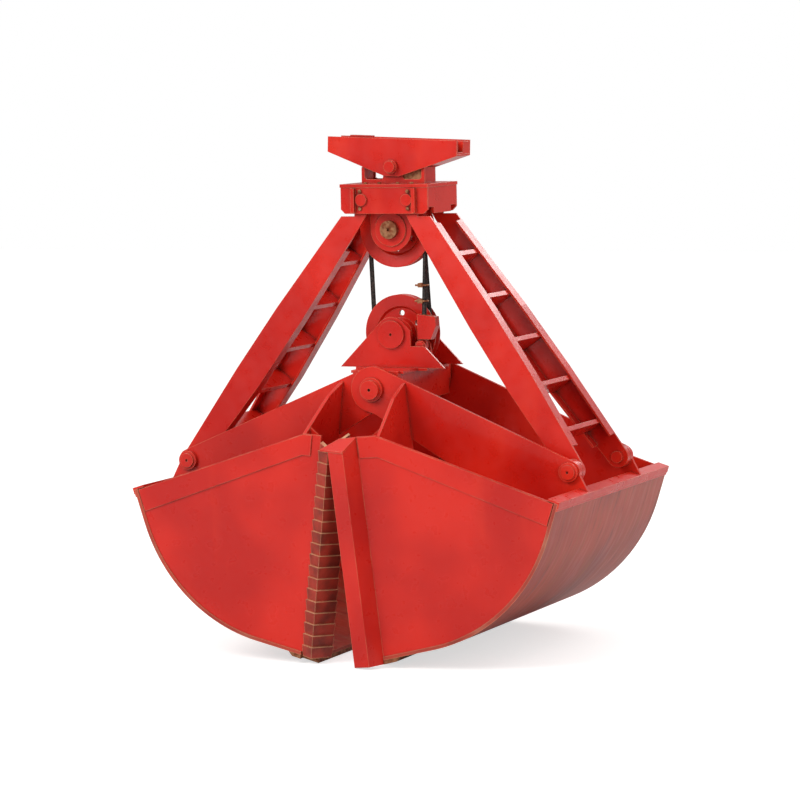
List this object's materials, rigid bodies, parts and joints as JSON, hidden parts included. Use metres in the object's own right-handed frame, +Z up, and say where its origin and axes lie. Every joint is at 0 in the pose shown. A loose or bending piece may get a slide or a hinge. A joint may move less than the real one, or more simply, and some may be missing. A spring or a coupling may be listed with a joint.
{
  "type": "clamshell bucket",
  "caption": "Rope-operated clamshell grab: hinged shells with toothed side bars, four-legged arms, sheave blocks, head and balance beam.",
  "frame": {"origin": "on the ground under the middle of the grab, standing on its cutting lips", "axes": "+Z up, X across the mouth from the left shell to the right shell, Y along the shell hinge with the front at -Y"},
  "size_m": [2.7266, 2.048, 3.0651],
  "materials": {
    "red_paint": "gloss enamel, worn at edges",
    "bare_steel": "worn bright steel",
    "scuffed_plate": "scuffed primer over plate",
    "wire_rope": "greased wire rope",
    "bronze": "bronze bush",
    "tooth_paint": "worn enamel on teeth"
  },
  "bodies": {
    "head": {"balance_beam_pin": "red_paint", "balance_beam_stand_plates": "red_paint", "balance_beam_stand_walls": "red_paint", "closing_rope_dead_span": "wire_rope", "closing_rope_lead_span": "wire_rope", "closing_rope_rising_span": "wire_rope", "closing_rope_upper_wrap": "wire_rope", "guide_roller_pins": "bare_steel", "head_arm_pins": "red_paint", "head_bolts": "bare_steel", "head_front_plate": "red_paint", "head_rear_plate": "red_paint", "head_side_plates": "red_paint", "head_top_plate": "red_paint", "sheave_hangers": "red_paint", "upper_sheave_shaft": "bare_steel"},
    "balance_beam": {"balance_beam_end_blocks": "red_paint", "balance_beam_floors": "red_paint", "balance_beam_front_plate": "red_paint", "balance_beam_rear_plate": "red_paint", "holding_rope_sockets": "red_paint"},
    "upper_sheave": {"upper_sheave": "red_paint", "upper_sheave_bush": "bronze"},
    "lower_sheave": {"lower_sheave": "red_paint", "lower_sheave_bush": "bronze"},
    "inner_guide_roller": {"guide_roller_inner": "bare_steel"},
    "outer_guide_roller": {"guide_roller_outer": "bare_steel"},
    "lower_beam": {"closing_rope_lower_wrap": "wire_rope", "crosshead_hinge_lugs": "red_paint", "lower_block_front_cheek": "red_paint", "lower_block_rear_cheek": "red_paint", "lower_crosshead": "red_paint", "lower_sheave_shaft": "red_paint", "main_hinge_pins": "red_paint", "rope_clips": "bare_steel", "wedge_socket": "red_paint", "wedge_socket_pin": "red_paint", "wedge_socket_wedge": "bare_steel"},
    "right_shell": {"right_shell_arm_pins": "red_paint", "right_shell_cover_bars": "red_paint", "right_shell_doublers": "red_paint", "right_shell_gussets": "red_paint", "right_shell_lip": "bare_steel", "right_shell_rim_bar": "red_paint", "right_shell_rolled_plate": "scuffed_plate", "right_shell_side_plates": "red_paint", "right_shell_webs": "red_paint"},
    "left_shell": {"left_shell_arm_pins": "red_paint", "left_shell_doublers": "red_paint", "left_shell_gussets": "red_paint", "left_shell_lip": "bare_steel", "left_shell_rim_bar": "red_paint", "left_shell_rolled_plate": "scuffed_plate", "left_shell_side_plates": "red_paint", "left_shell_toothed_bars": "tooth_paint", "left_shell_webs": "red_paint"},
    "right_arm": {"right_arm_rungs": "red_paint", "right_arm_stringers": "red_paint"},
    "left_arm": {"left_arm_rungs": "red_paint", "left_arm_stringers": "red_paint"}
  },
  "joints": [
    {"name": "closing_slide", "type": "slide", "parent": "head", "child": "lower_beam", "axis": [0, 0, -1], "range_m": [-0.1368, 0.8], "deforming": ["closing_rope_rising_span", "closing_rope_dead_span", "closing_rope_lead_span"]},
    {"name": "right_shell_hinge", "type": "hinge", "parent": "lower_beam", "child": "right_shell", "pos_m": [0, 0, 1.5716], "axis": [0, -1, 0], "range_deg": [-6.5, 38.1]},
    {"name": "left_shell_hinge", "type": "hinge", "parent": "lower_beam", "child": "left_shell", "pos_m": [0, 0, 1.5716], "axis": [0, 1, 0], "range_deg": [-6.5, 38.1]},
    {"name": "right_arm_hinge", "type": "hinge", "parent": "right_shell", "child": "right_arm", "pos_m": [1.23913, 0, 1.11668], "axis": [0, -1, 0], "range_deg": [-35.6, 6.1]},
    {"name": "left_arm_hinge", "type": "hinge", "parent": "left_shell", "child": "left_arm", "pos_m": [-1.23913, 0, 1.11668], "axis": [0, 1, 0], "range_deg": [-35.6, 6.1]},
    {"name": "balance_beam_hinge", "type": "hinge", "parent": "head", "child": "balance_beam", "pos_m": [0, 0, 2.8736], "axis": [0, 1, 0], "range_deg": [-7, 5]},
    {"name": "upper_sheave_spin", "type": "hinge", "parent": "head", "child": "upper_sheave", "pos_m": [0, 0, 2.5006], "axis": [0, 1, 0], "continuous": true},
    {"name": "lower_sheave_spin", "type": "hinge", "parent": "lower_beam", "child": "lower_sheave", "pos_m": [0, 0, 1.8746], "axis": [0, 1, 0], "continuous": true},
    {"name": "inner_guide_roller_spin", "type": "hinge", "parent": "head", "child": "inner_guide_roller", "pos_m": [0.0875, 0, 2.8416], "axis": [0, 1, 0], "continuous": true},
    {"name": "outer_guide_roller_spin", "type": "hinge", "parent": "head", "child": "outer_guide_roller", "pos_m": [0.1625, 0, 2.8416], "axis": [0, 1, 0], "continuous": true}
  ],
  "couplings": [
    {"joint": "right_shell_hinge", "follows": "closing_slide", "rad_per_m": 0.8291},
    {"joint": "left_shell_hinge", "follows": "closing_slide", "rad_per_m": 0.8291},
    {"joint": "right_arm_hinge", "follows": "closing_slide", "rad_per_m": -0.77521},
    {"joint": "left_arm_hinge", "follows": "closing_slide", "rad_per_m": -0.77521}
  ]
}
